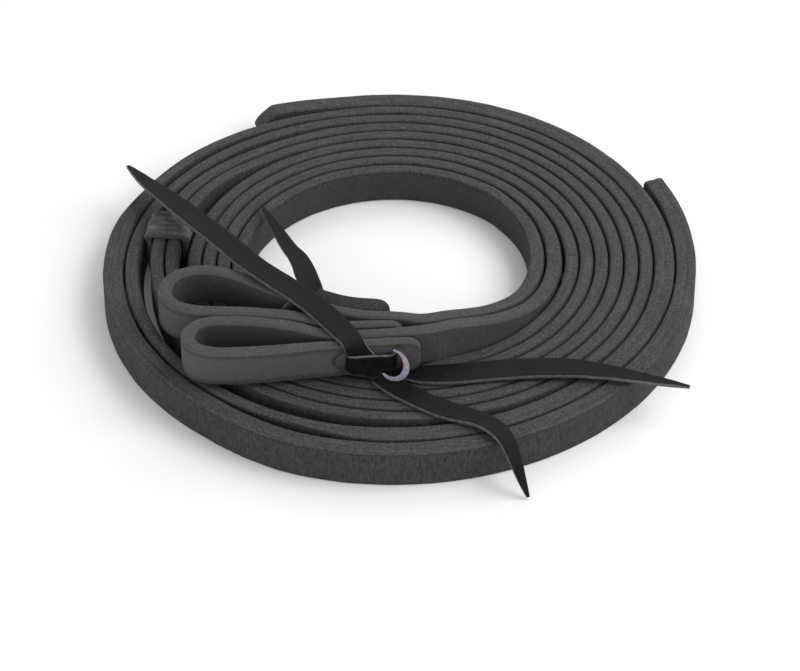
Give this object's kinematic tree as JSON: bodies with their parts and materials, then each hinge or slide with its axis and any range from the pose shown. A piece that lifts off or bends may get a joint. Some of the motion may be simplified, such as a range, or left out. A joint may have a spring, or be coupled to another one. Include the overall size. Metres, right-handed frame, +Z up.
{
  "type": "leather split reins",
  "caption": "Pair of leather split reins wound together in a flat coil, each with a bit loop tied by a flat lace and a doubled end, held by a leather keeper band.",
  "frame": {"origin": "centre of the coil on the plane the coil rests on", "axes": "+Z up out of the coil, -Y towards the bit loops, +X to the right when the bit loops face the viewer"},
  "size_m": [0.2009, 0.2047, 0.0299],
  "materials": {
    "strap_leather": "matte harness leather with lighter cut edges",
    "keeper_leather": "smooth dark leather",
    "lace_leather": "satin latigo lace"
  },
  "bodies": {
    "coil": {"rein_front_strap": "strap_leather", "rein_rear_strap": "strap_leather", "rein_front_end_ply": "strap_leather", "rein_rear_end_ply": "strap_leather", "lace_front_tie": "lace_leather", "lace_rear_tie": "lace_leather"},
    "keeper": {"keeper": "keeper_leather"},
    "front_tail_long": {"lace_front_tail_long": "lace_leather"},
    "front_tail_short": {"lace_front_tail_short": "lace_leather"},
    "rear_tail_long": {"lace_rear_tail_long": "lace_leather"},
    "rear_tail_short": {"lace_rear_tail_short": "lace_leather"}
  },
  "joints": [
    {"name": "keeper_slide", "type": "hinge", "parent": "coil", "child": "keeper", "pos_m": [0, 0, 0], "axis": [0, 0, 1], "range_deg": [-3, 3]},
    {"name": "front_long_lift", "type": "hinge", "parent": "coil", "child": "front_tail_long", "pos_m": [-0.01485, -0.06355, 0.0294], "axis": [0.8744, 0.4852, 0], "range_deg": [0, 35]},
    {"name": "front_short_lift", "type": "hinge", "parent": "coil", "child": "front_tail_short", "pos_m": [-0.0045, -0.0658, 0.01485], "axis": [-0.722, -0.6919, 0], "range_deg": [0, 20]},
    {"name": "rear_long_lift", "type": "hinge", "parent": "coil", "child": "rear_tail_long", "pos_m": [0.01015, -0.0631, 0.01455], "axis": [0, -1, 0], "range_deg": [0, 35]},
    {"name": "rear_short_lift", "type": "hinge", "parent": "coil", "child": "rear_tail_short", "pos_m": [-0.0279, -0.0329, 0.02625], "axis": [0.9507, 0.3102, 0], "range_deg": [0, 20]}
  ]
}
